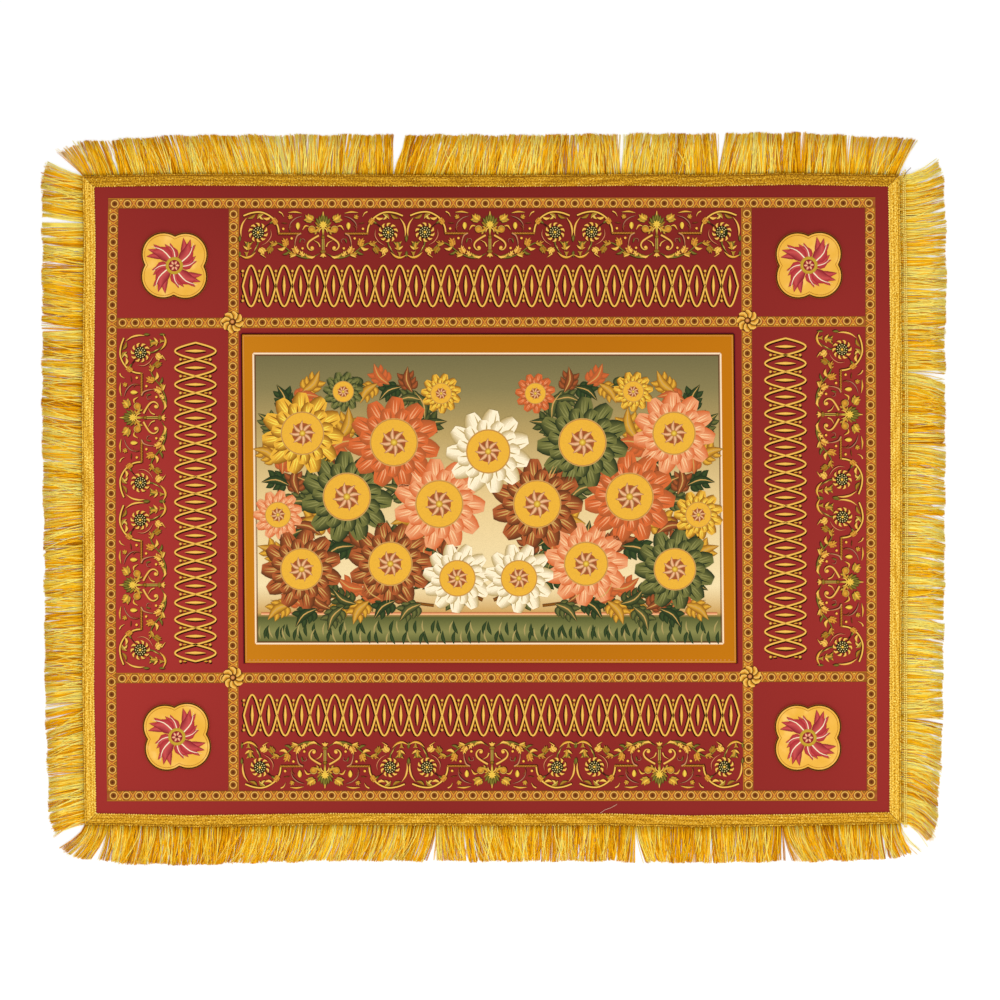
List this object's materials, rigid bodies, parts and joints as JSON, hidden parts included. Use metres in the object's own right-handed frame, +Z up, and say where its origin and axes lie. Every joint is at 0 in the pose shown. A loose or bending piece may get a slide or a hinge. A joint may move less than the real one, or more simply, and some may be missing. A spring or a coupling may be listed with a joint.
{
  "type": "epitaphios cloth",
  "caption": "Rectangular printed church cloth lying flat, with a raised centre panel, applied corner medallions and a deep gold thread fringe along every edge.",
  "frame": {"origin": "middle of the whole outline, on the underside, where the cloth lies on the surface", "axes": "+X along the long edge to the reader's right, +Y towards the upper long edge, +Z up out of the printed face"},
  "size_m": [0.9988, 0.8099, 0.0047],
  "materials": {
    "red_gabardine": "matte woven, printed",
    "printed_panel": "smooth fine weave, printed",
    "medallion_cloth": "fine weave, printed",
    "gold_thread": "glossy metallised thread"
  },
  "bodies": {
    "root": {"ground_cloth": "red_gabardine", "centre_panel": "printed_panel", "medallion_top_left": "medallion_cloth", "medallion_top_right": "medallion_cloth", "medallion_bottom_left": "medallion_cloth", "medallion_bottom_right": "medallion_cloth", "fringe_top": "gold_thread", "fringe_bottom": "gold_thread", "fringe_left": "gold_thread", "fringe_right": "gold_thread"}
  },
  "joints": []
}
